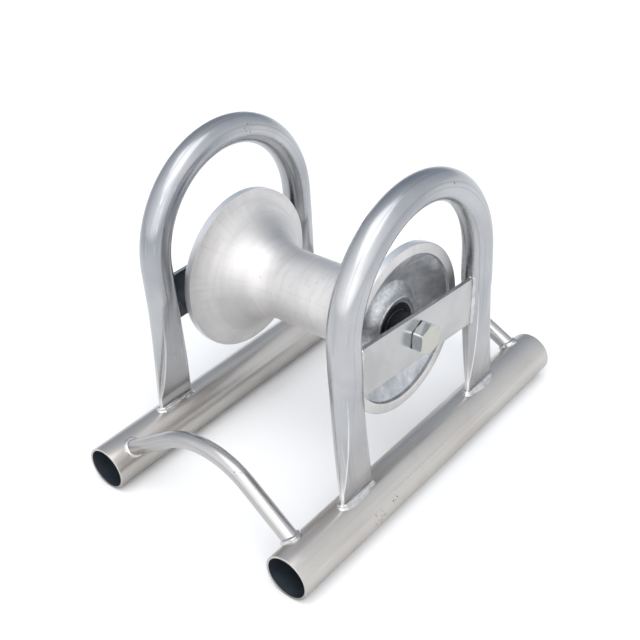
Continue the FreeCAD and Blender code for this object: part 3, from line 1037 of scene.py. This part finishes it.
def hexagon_rows(low, high, chamfer_high):
    """Radii and places of rings up a hexagon, whose corners a cone cuts back at its low end, and
    where asked at its high end."""
    radii = hexagon_radii()
    small = head_flats / 2 * head_face_share
    sink = np.maximum(radii - small, 0.0) * math.tan(head_chamfer)
    start = low + sink
    top = high - sink if chamfer_high else high
    rows = [(small, low)] + [(radii, start + (top - start) * t) for t in (0, 0.25, 0.5, 0.75, 1)]
    return rows + [(small, high)] if chamfer_high else rows


def shank_rows(start, end):
    """Threaded shank: the radius follows a helix, with a chamfered tip."""
    turns = even_turns(hexagon_segments) / (2 * math.pi)
    rows = []
    for y in np.arange(start, end, thread_pitch / thread_steps):
        tooth = np.abs((y / thread_pitch + turns) % 1.0 * 2 - 1)
        past = 1 - min(1.0, max(0.0, (end - y) / tip_length))
        radius = bolt_radius - thread_depth * (1 - tooth) - past * tip_drop
        rows.append((np.maximum(radius, bolt_radius - core_drop), y))
    return rows + [(bolt_radius - tip_length, end)]


def axle_bolt():
    """Hexagon bolt through both crossbars: bare head on the right, threaded tail on the left."""
    seat = -bar_outer_y
    face, pad = seat - head_height, seat - head_pad
    tail = bar_outer_y + washer_thickness + nut_height + bolt_tail
    rows = [(0.01 * MM, face), (head_flats / 2 * head_ring_share, face)]
    rows += hexagon_rows(face, pad, False)
    rows += [(head_pad_radius, pad), (head_pad_radius, seat)]
    rows += [(bolt_radius, seat), (bolt_radius, shank_end)]
    rows += shank_rows(thread_start, tail)
    rings = [axle_ring(r, y, hexagon_segments) for r, y in rows]
    made = skin("axle_bolt_skin", rings, sharp=bolt_sharp_edge)
    made.data.transform(turn_about(axle_centre, bolt_turn))
    return made


def axle_nut():
    """Hexagon nut with both faces chamfered and a countersunk thread hole."""
    low = bar_outer_y + washer_thickness
    high = low + nut_height
    hole = bolt_radius + thread_play
    wide = hole + nut_sink
    rows = hexagon_rows(low, high, True)
    rows += [(wide, high), (hole, high - nut_sink), (hole, low + nut_sink), (wide, low)]
    return turned("axle_nut_skin", rows, hexagon_segments, bolt_sharp_edge)


# Finishes

def new_material(name, colour, metallic, roughness, specular=0.5):
    """Material with its shader's own values set, and a socket to build on."""
    made = bpy.data.materials.new(name)
    made.use_nodes = True
    shader = made.node_tree.nodes["Principled BSDF"]
    shader.inputs["Base Color"].default_value = (*colour, 1.0)
    shader.inputs["Metallic"].default_value = metallic
    shader.inputs["Roughness"].default_value = roughness
    shader.inputs["Specular IOR Level"].default_value = specular
    return made, shader, Socket(made.node_tree)


def finish_off(shader, colour, roughness, height, strength, depth):
    """Leads a finish's colour, roughness and relief to its shader."""
    relief = height.node("ShaderNodeBump", None,
                         {"Height": height, "Strength": strength, "Distance": depth})
    for name, value in (("Base Color", colour), ("Roughness", roughness), ("Normal", relief)):
        value.tree.links.new(value.socket, shader.inputs[name])


def object_place(start, scale=(1.0, 1.0, 1.0), turn=(0.0, 0.0, 0.0), move=(0.0, 0.0, 0.0)):
    """Object coordinates, scaled, turned and moved."""
    place = start.node("ShaderNodeTexCoord", output="Object")
    return place.node("ShaderNodeMapping", None,
                      {"Vector": place, "Scale": scale, "Rotation": turn, "Location": move})


def path_place(start, along, across, turn=0.0):
    """The piece's own UV map, in metres along and across it, scaled and turned."""
    place = start.node("ShaderNodeUVMap", {"uv_map": "path"})
    return place.node("ShaderNodeMapping", None,
                      {"Vector": place, "Scale": (along, across, 1.0), "Rotation": (0, 0, turn)})


def component(place, index):
    """One number of a place: 0, 1 or 2 for x, y or z."""
    return place.node("ShaderNodeSeparateXYZ", None, {"Vector": place}, index)


def noise(place, scale, detail=3.0, roughness=0.5, distortion=0.0):
    """Cloudy noise around 0.5."""
    return place.node("ShaderNodeTexNoise", None,
                      {"Vector": place, "Scale": scale, "Detail": detail, "Roughness": roughness,
                       "Distortion": distortion})


def ramp(value, low, high):
    """0 below low, 1 above high, smooth between."""
    return value.node("ShaderNodeMapRange", {"interpolation_type": "SMOOTHSTEP"},
                      {"Value": value, "From Min": low, "From Max": high})


def grey(level):
    """Neutral colour of one level."""
    return (level, level, level)


def darker(colour, share):
    """A share of a colour's light."""
    return tuple(share * c for c in colour)


def mix(factor, a, b):
    """Mix of two colours, each given as numbers or as a socket."""
    a, b = (v if isinstance(v, Socket) else (*v, 1.0) for v in (a, b))
    return factor.node("ShaderNodeMix", {"data_type": "RGBA"}, {0: factor, 6: a, 7: b}, 2)


def layered(colour, *layers):
    """Lays colours over one another, each through a mask of its own."""
    for mask, over in layers:
        colour = mix(mask, colour, over)
    return colour


def scratches(start, place, seed, share=0.66):
    """Hairlines: the crests of a long drawn-out noise, shown in patches."""
    line = ramp(noise(place, 1.0, 1.0, 0.4), share, share + 0.03)
    patch = ramp(noise(object_place(start, move=(seed, seed, seed)), 45.0, 2.0), 0.50, 0.62)
    return line * patch


def near(start, place, size):
    """1 at a place on the piece and 0 further off than a size."""
    offset = object_place(start, move=tuple(-c for c in place))
    distance = offset.node("ShaderNodeVectorMath", {"operation": "LENGTH"}, {0: offset}, "Value")
    return 1 - ramp(distance, 0.35 * size, size)


def pits_and_soil(start, seed, marks_at):
    """Small pits and a dirty mottle round them, both only at the marks."""
    marked = sum(near(start, place, size) for place, size in marks_at)
    spots = object_place(start)
    spots = spots.node("ShaderNodeTexVoronoi", None, {"Vector": spots, "Scale": 430.0})
    patch = ramp(noise(object_place(start, move=(5.0, 8.0, seed)), 260.0, 1.0), 0.45, 0.52)
    soil = ramp(noise(object_place(start), 420.0, 3.0, 0.7), 0.54, 0.62)
    return (1 - ramp(spots, 0.20, 0.42)) * patch * marked, soil * marked


def die_lines(start, lines_at):
    """A dull line and a bright line along a tube, so far round it each, and both broken; the bright one
    is a die line with its highlight painted in.
    """
    across = component(path_place(start, 1.0, 1.0), 1)
    dull, bright = (1 - ramp(abs(across - at), *die_line_edge) for at in lines_at)
    dots = ramp(noise(path_place(start, 260.0, 1.0), 1.0, 2.0), 0.42, 0.56)
    faded = ramp(noise(path_place(start, 11.0, 1.0), 1.0, 1.0), 0.40, 0.62)
    breaks = ramp(noise(path_place(start, 24.0, 1.0), 1.0, 2.0), 0.40, 0.60)
    return dull * dots * faded, bright * breaks


def drawn_aluminium(name, tones, rough, seed, marks_at, lines_at=None):
    """Drawn tube: fine lines along it, hazy and stained patches, painted dark reflection streaks, a
    warmer tint low down, hairlines, a few pits and a painted highlight along its ridges. The base tubes
    also have faint die lines, the bright one with a painted highlight, and painted shade on their
    undersides."""
    made, shader, start = new_material(name, tones["pale"], 1.0, rough)
    height = component(object_place(start), 2)
    cloud = noise(object_place(start, move=(3.0, seed, 2.0)), 8.0)
    haze = noise(object_place(start, move=(seed, 0.0, 0.0)), 24.0, 4.0, 0.6, 0.6)
    stain = noise(object_place(start, move=(7.0, seed, 3.0)), 13.0, 3.0, 0.6, 0.8)
    fine = noise(object_place(start), 700.0, 2.0)
    lines = noise(path_place(start, 6.0, 1300.0), 1.0, 3.0, 0.6)
    broad = noise(path_place(start, 3.0, 190.0), 1.0, 2.0)
    drawn = ramp(noise(path_place(start, 2.5, 380.0), 1.0, 2.0), 0.58, 0.68)
    # Painted dark reflections: bluish dark streaks along the tube, in patches
    dark_reflection_streak = ramp(noise(path_place(start, 5.0, 75.0), 1.0, 2.0), 0.50, 0.70)
    dark_reflection_streak = dark_reflection_streak * ramp(noise(object_place(start, move=(9.0, 2.0, seed)), 14.0, 2.0), 0.45, 0.65)
    warm = 1 - ramp(height + (haze - 0.5) * 0.03, *warm_edge)
    hairs = (scratches(start, path_place(start, 14.0, 900.0, 0.03), seed + 4.0)
             + scratches(start, path_place(start, 40.0, 700.0, 0.9), seed + 9.0, 0.70))
    pits, soil = pits_and_soil(start, seed, marks_at)
    # Painted highlight along the ridges, which are also a little smoother
    ridge_highlight = start.node("ShaderNodeAttribute", {"attribute_name": "ridge"}, output="Fac")
    colour = layered(mix(ramp(cloud, 0.3, 0.7), tones["dark"], tones["pale"]),
                     (ramp(stain, 0.5, 0.72) * 0.45, tones["stain"]),
                     ((broad - 0.5) * 0.35, tones["dark"]),
                     (drawn * 0.3, darker(tones["dark"], 0.6)),
                     (dark_reflection_streak * 0.6, tones["dark_reflection_streak"]),
                     (warm * 0.5, tones["warm"]),
                     (hairs * 0.3, (0.66, 0.66, 0.67)),
                     (soil * 0.4, (0.20, 0.17, 0.15)),
                     (pits * 0.8, grey(0.07)),
                     (ridge_highlight * 0.8, (0.92, 0.92, 0.93)))
    texture = (cloud - 0.5) * 0.10 + (haze - 0.5) * 0.16 + (lines - 0.5) * 0.08
    if lines_at:
        dull, bright = die_lines(start, lines_at)
        # Painted shade under the base tubes: darker and rougher towards the bottom
        underside_shade = 1 - ramp(height + (haze - 0.5) * 0.012, *underside_shade_edge)
        # The bright die line is painted pale: a painted highlight on a real line
        colour = layered(colour, (dull * 0.25, grey(0.12)), (bright * 0.7, grey(0.80)),
                         (underside_shade * 0.75, darker(tones["dark"], 0.45)))
        texture = texture + underside_shade * 0.1
    relief = lines * 0.30 + broad * 0.45 + fine * 0.10 - hairs * 0.2 - pits * 2.5
    finish_off(shader, colour, rough + texture + pits * 0.4 - ridge_highlight * 0.1, relief, 0.35, fine_relief)
    return made


def tube_inside_shade():
    """Painted shade inside the open base tubes: a dull, near black, bluish skin."""
    made, shader, start = new_material("tube_inside_shade", (0.04, 0.055, 0.075), 0.7, 0.5)
    cloud = noise(object_place(start), 60.0, 3.0, 0.6)
    colour = mix(cloud, (0.022, 0.032, 0.045), (0.07, 0.085, 0.105))
    finish_off(shader, colour, 0.4 + cloud * 0.25, cloud, 0.2, rough_relief)
    return made


def bar_aluminium():
    """Sawn flat bar: hazy mill finish with faint handling scratches."""
    made, shader, start = new_material("flat_bar_aluminium", grey(0.42), 1.0, 0.3)
    grain = noise(path_place(start, 9.0, 900.0), 1.0, 3.0, 0.6)
    cloud = noise(object_place(start, move=(1.0, 4.0, 2.0)), 18.0, 4.0, 0.55, 0.5)
    marks = scratches(start, path_place(start, 50.0, 700.0, 0.6), 2.0)
    colour = layered(mix(ramp(cloud, 0.3, 0.7), (0.39, 0.385, 0.38), (0.48, 0.475, 0.465)),
                     (marks * 0.3, grey(0.66)))
    finish_off(shader, colour, 0.16 + cloud * 0.14 + (grain - 0.5) * 0.08,
               grain * 0.15 + cloud * 0.5 - marks * 0.2, 0.3, fine_relief)
    return made


def painted_shade_bar():
    """Painted shade on the inner face of the far crossbar: near black, bluish and mottled, with pale
    specks.
    """
    made, shader, start = new_material("painted_shade_bar", (0.06, 0.07, 0.08), 1.0, 0.4)
    cloud = noise(object_place(start), 70.0, 4.0, 0.6, 0.5)
    specks = ramp(noise(object_place(start), 420.0, 2.0), 0.66, 0.72)
    colour = layered(mix(ramp(cloud, 0.35, 0.7), (0.08, 0.095, 0.115), (0.16, 0.175, 0.20)),
                     (specks * 0.5, grey(0.4)))
    finish_off(shader, colour, 0.32 + cloud * 0.2, cloud, 0.2, rough_relief)
    return made


def bead_aluminium():
    """Bright weld metal, a little darker in places."""
    made, shader, start = new_material("weld_aluminium", grey(0.5), 1.0, 0.25)
    cloud = noise(object_place(start), 120.0, 3.0, 0.6)
    fine = noise(object_place(start), 900.0, 3.0, 0.6)
    colour = mix(ramp(cloud, 0.35, 0.7), (0.42, 0.415, 0.41), grey(0.57))
    finish_off(shader, colour, 0.11 + cloud * 0.06, cloud * 0.2 + fine * 0.08, 0.3, rough_relief)
    return made


def about_axle(start):
    """Distance from the axle, place along it and turn around it, from Object coordinates."""
    place = object_place(start, move=(-axle_x, 0.0, -axle_z))
    x, y, z = (component(place, index) for index in range(3))
    return (x * x + z * z).own("SQRT"), y, x.maths("ARCTAN2", z, x)


def ring_noise(radius, y, turn, across, around, detail, roughness=0.5):
    """Noise drawn out round the axle, scaled across its rings and around them."""
    place = y.node("ShaderNodeCombineXYZ", None, {0: y * across, 1: radius * across, 2: turn * around})
    return noise(place, 1.0, detail, roughness)


def turned_aluminium():
    """Turned drum: fine rings round the axle under a soft hazy sheen, with painted shade in the hollow
    of each flare and a painted highlight on the rims.
    """
    made, shader, start = new_material("turned_aluminium", grey(0.6), 1.0, 0.5)
    radius, y, turn = about_axle(start)
    rings = ring_noise(radius, y, turn, 2600.0, 0.6, 3.0, 0.65)
    bands = ring_noise(radius, y, turn, 190.0, 1.2, 2.0)
    streaks = ring_noise(radius, y, turn, 18.0, 16.0, 3.0, 0.6)
    cloud = noise(object_place(start), 20.0, 4.0, 0.55, 0.4)
    specks = ramp(noise(object_place(start), 340.0, 2.0), 0.68, 0.74)
    # Painted shade in the hollow of each flare
    hollow_shade = ramp(radius, *hollow_shade_inner_edge) * (1 - ramp(radius, *hollow_shade_outer_edge))
    # Painted highlight along the rims, which are also a little smoother
    rim_highlight = ramp(radius, *rim_highlight_edge)
    colour = layered(mix(ramp(cloud, 0.3, 0.7), (0.56, 0.553, 0.547), (0.66, 0.643, 0.632)),
                     (ramp(streaks, 0.52, 0.75) * 0.3, (0.46, 0.445, 0.44)),
                     (ramp(bands, 0.45, 0.70) * 0.35, (0.50, 0.49, 0.49)),
                     (hollow_shade * 0.5, (0.43, 0.425, 0.42)),
                     (rim_highlight * 0.8, grey(0.86)),
                     (specks * 0.35, (0.30, 0.29, 0.29)))
    finish_off(shader, colour, 0.44 + cloud * 0.08 + (bands - 0.5) * 0.10 - rim_highlight * 0.08,
               rings * 0.6 + bands * 0.8, 0.8, drum_relief)
    return made


def cast_aluminium():
    """Cast dish of the drum: darker, mottled and scratched, with a paler sandy cone at its hub."""
    made, shader, start = new_material("cast_aluminium", (0.6, 0.6, 0.62), 1.0, 0.42)
    radius = about_axle(start)[0]
    cloud = noise(object_place(start), 55.0, 5.0, 0.6, 0.8)
    blot = noise(object_place(start, move=(2.0, 6.0, 4.0)), 90.0, 4.0, 0.65, 0.6)
    grain = noise(object_place(start), 620.0, 3.0, 0.6)
    sand = noise(object_place(start), 260.0, 3.0, 0.7)
    sandy = mix(ramp(sand, 0.36, 0.62), (0.50, 0.515, 0.54), (0.76, 0.77, 0.78))
    cone = 1 - ramp(radius + (cloud - 0.5) * 0.008, *cone_edge)
    marks = scratches(start, object_place(start, (30.0, 30.0, 700.0), (0.3, 0.5, 0.7)), 3.0, 0.64)
    colour = layered(mix(ramp(cloud, 0.3, 0.7), (0.36, 0.375, 0.40), (0.60, 0.61, 0.62)),
                     (ramp(blot, 0.56, 0.66) * 0.35, (0.20, 0.22, 0.255)),
                     ((1 - ramp(blot, 0.30, 0.38)) * 0.5, (0.72, 0.73, 0.74)),
                     (cone * 0.7, sandy),
                     (marks * 0.4, grey(0.8)))
    finish_off(shader, colour, 0.42 + cloud * 0.14 + cone * 0.06,
               cloud * 0.8 + grain * 0.3 + sand * 0.8 - marks * 0.3, 0.5, drum_relief)
    return made


def plated_steel(name, colour, roughness, grain_size=420.0):
    """Bright steel with a faint mottle and fine wear."""
    made, shader, start = new_material(name, colour, 1.0, roughness)
    cloud = noise(object_place(start), 130.0, 3.0, 0.6)
    grain = noise(object_place(start), grain_size, 3.0, 0.6)
    finish_off(shader, mix(cloud, darker(colour, 0.82), colour),
               roughness - 0.05 + cloud * 0.1 + grain * 0.05, grain, 0.12, fine_relief)
    return made


def plated_bolt():
    """Zinc plate with painted reflections: bluish on the flats, creamy on the faces of head and nut, and
    a painted highlight at the corners.
    """
    made, shader, start = new_material("zinc_plate", grey(0.5), 1.0, 0.2)
    radius, y, _ = about_axle(start)
    cloud = noise(object_place(start), 130.0, 3.0, 0.6)
    grain = noise(object_place(start), 420.0, 3.0, 0.6)
    face = ramp(abs(y), *face_edge)
    creamy = mix(cloud, (0.43, 0.43, 0.385), (0.52, 0.515, 0.455))
    # Painted reflections: bluish flats and creamy end faces, then a painted highlight at the corners
    colour = layered(mix(cloud, (0.40, 0.42, 0.44), (0.50, 0.52, 0.53)), (face, creamy),
                     (ramp(radius, *corner_highlight_edge) * 0.7, (0.85, 0.86, 0.86)))
    finish_off(shader, colour, 0.13 + cloud * 0.12 + face * 0.12, grain, 0.12, fine_relief)
    return made


def dark_finish(name, colour, roughness):
    """Black rubber, plastic or blackened steel with a fine grain."""
    made, shader, start = new_material(name, colour, 0.0, roughness, 0.2)
    cloud = noise(object_place(start), 240.0, 3.0, 0.6)
    grain = noise(object_place(start), 1600.0, 2.0)
    paler = tuple(min(1.0, 1.6 * c + 0.01) for c in colour)
    finish_off(shader, mix(cloud, colour, paler), roughness - 0.06 + cloud * 0.12,
               grain, 0.2, fine_relief)
    return made


# Stage

def floor():
    """Plain pale floor."""
    corners = [(x * floor_half, y * floor_half, 0) for x, y in ((-1, -1), (1, -1), (1, 1), (-1, 1))]
    mesh = bpy.data.meshes.new("floor")
    mesh.from_pydata(corners, [], [(0, 1, 2, 3)])
    mesh.materials.append(new_material("pale_floor", grey(0.86), 0.0, 0.9, 0.0)[0])
    add("floor", mesh)


def towards(place, azimuth, elevation):
    """Cosine of the angle between a direction and the one given."""
    aim = (math.cos(azimuth) * math.cos(elevation), math.sin(azimuth) * math.cos(elevation),
           math.sin(elevation))
    return place.node("ShaderNodeVectorMath", {"operation": "DOT_PRODUCT"}, {0: place, 1: aim}, "Value")


def world():
    """Pale hall: a bright window low in front, dimmer and bluer towards the far side, and white
    where it meets the floor."""
    made = bpy.data.worlds.new("studio")
    made.use_nodes = True
    bpy.context.scene.world = made
    shader = made.node_tree.nodes["Background"]
    place = Socket(made.node_tree).node("ShaderNodeTexCoord", output="Generated")
    level = 0.5 + 0.5 * towards(place, window_azimuth, 0.0)
    colour = layered(mix(level, far_light, near_light),
                     (ramp(towards(place, window_azimuth, window_height), *window_edge), window_light),
                     (1 - ramp(component(place, 2), *horizon_edge), horizon_light))
    made.node_tree.links.new(colour.socket, shader.inputs["Color"])
    shader.inputs["Strength"].default_value = 1.0


def overhead_lamp():
    """Wide soft lamp over the roller."""
    light = bpy.data.lights.new("overhead", "AREA")
    light.shape = "RECTANGLE"
    light.size, light.size_y = lamp_width, lamp_width
    light.energy = lamp_power
    made = add("overhead", light)
    made.location = lamp_place
    made.rotation_euler = (-Vector(lamp_place)).to_track_quat("-Z", "Y").to_euler()


def camera():
    """The photograph's view, rolled about the line of sight."""
    sine, cosine = math.sin(camera_azimuth), math.cos(camera_azimuth)
    level = math.cos(camera_elevation)
    back = Vector((sine * level, -cosine * level, math.sin(camera_elevation)))
    right = Vector((cosine, sine, 0))
    up = back.cross(right)
    across = right * math.cos(camera_roll) + up * math.sin(camera_roll)
    upward = up * math.cos(camera_roll) - right * math.sin(camera_roll)
    lens = bpy.data.cameras.new("camera")
    lens.sensor_width = 36.0
    lens.lens = focal_pixels / image_pixels * lens.sensor_width
    lens.clip_start = 10 * MM
    made = add("camera", lens)
    place = Matrix((across, upward, back)).transposed().to_4x4()
    place.translation = camera_place
    made.matrix_world = place
    bpy.context.scene.camera = made


def main():
    tube = drawn_aluminium("hoop_aluminium", hoop_tones, 0.25, 1.0, hoop_marks)
    skid = drawn_aluminium("base_aluminium", base_tones, 0.32, 6.0, base_marks,
                           (base_radius * die_line, base_radius * highlight_die_line))
    # Painted shade for the inside of the base tubes
    inside = tube_inside_shade()
    flat = bar_aluminium()
    # Painted shade for the far crossbar's inner face
    painted_shade_face = {-1: None, 1: painted_shade_bar()}
    machined = turned_aluminium()
    zinc = plated_bolt()
    chrome = plated_steel("bearing_steel", (0.78, 0.79, 0.82), 0.30, 900.0)
    black = dark_finish("blackened_steel", (0.010, 0.011, 0.014), 0.3)
    rubber = dark_finish("seal_rubber", (0.006, 0.006, 0.007), 0.4)
    plastic = dark_finish("cage_plastic", (0.5, 0.48, 0.4), 0.5)

    for side in (-1, 1):
        name = side_name(side)
        dress(base_tube(side, skid, inside), skid, "base_tube_" + name)
        dress(hoop(side), tube, "hoop_" + name)
        dress(crossbar(side, flat, painted_shade_face[side]), flat, "crossbar_" + name)
        dress(outer_ring(side), chrome, "bearing_outer_ring_" + name)
        dress(seals(side), rubber, "bearing_seals_" + name)
        dress(collar(side), black, "spacer_collar_" + name)
        repaint(chrome, "bearing_inner_ring_" + name, "ball_set_" + name)
        repaint(plastic, "ball_cage_" + name)
    for end in (-1, 1):
        dress(cross_tube(end), tube, "cross_tube_" + end_name(end))
    welds(bead_aluminium())
    dress(drum(machined, cast_aluminium()), machined, "roller_drum")
    dress(axle_bolt(), zinc, "axle_bolt")
    dress(axle_nut(), zinc, "axle_nut")
    repaint(zinc, "spring_washer")
    repaint(plated_steel("ground_steel", (0.45, 0.45, 0.46), 0.25), "axle_sleeve", "inner_spacer")

    floor()
    world()
    overhead_lamp()
    camera()
    bpy.context.scene.view_settings.view_transform = "Standard"


main()
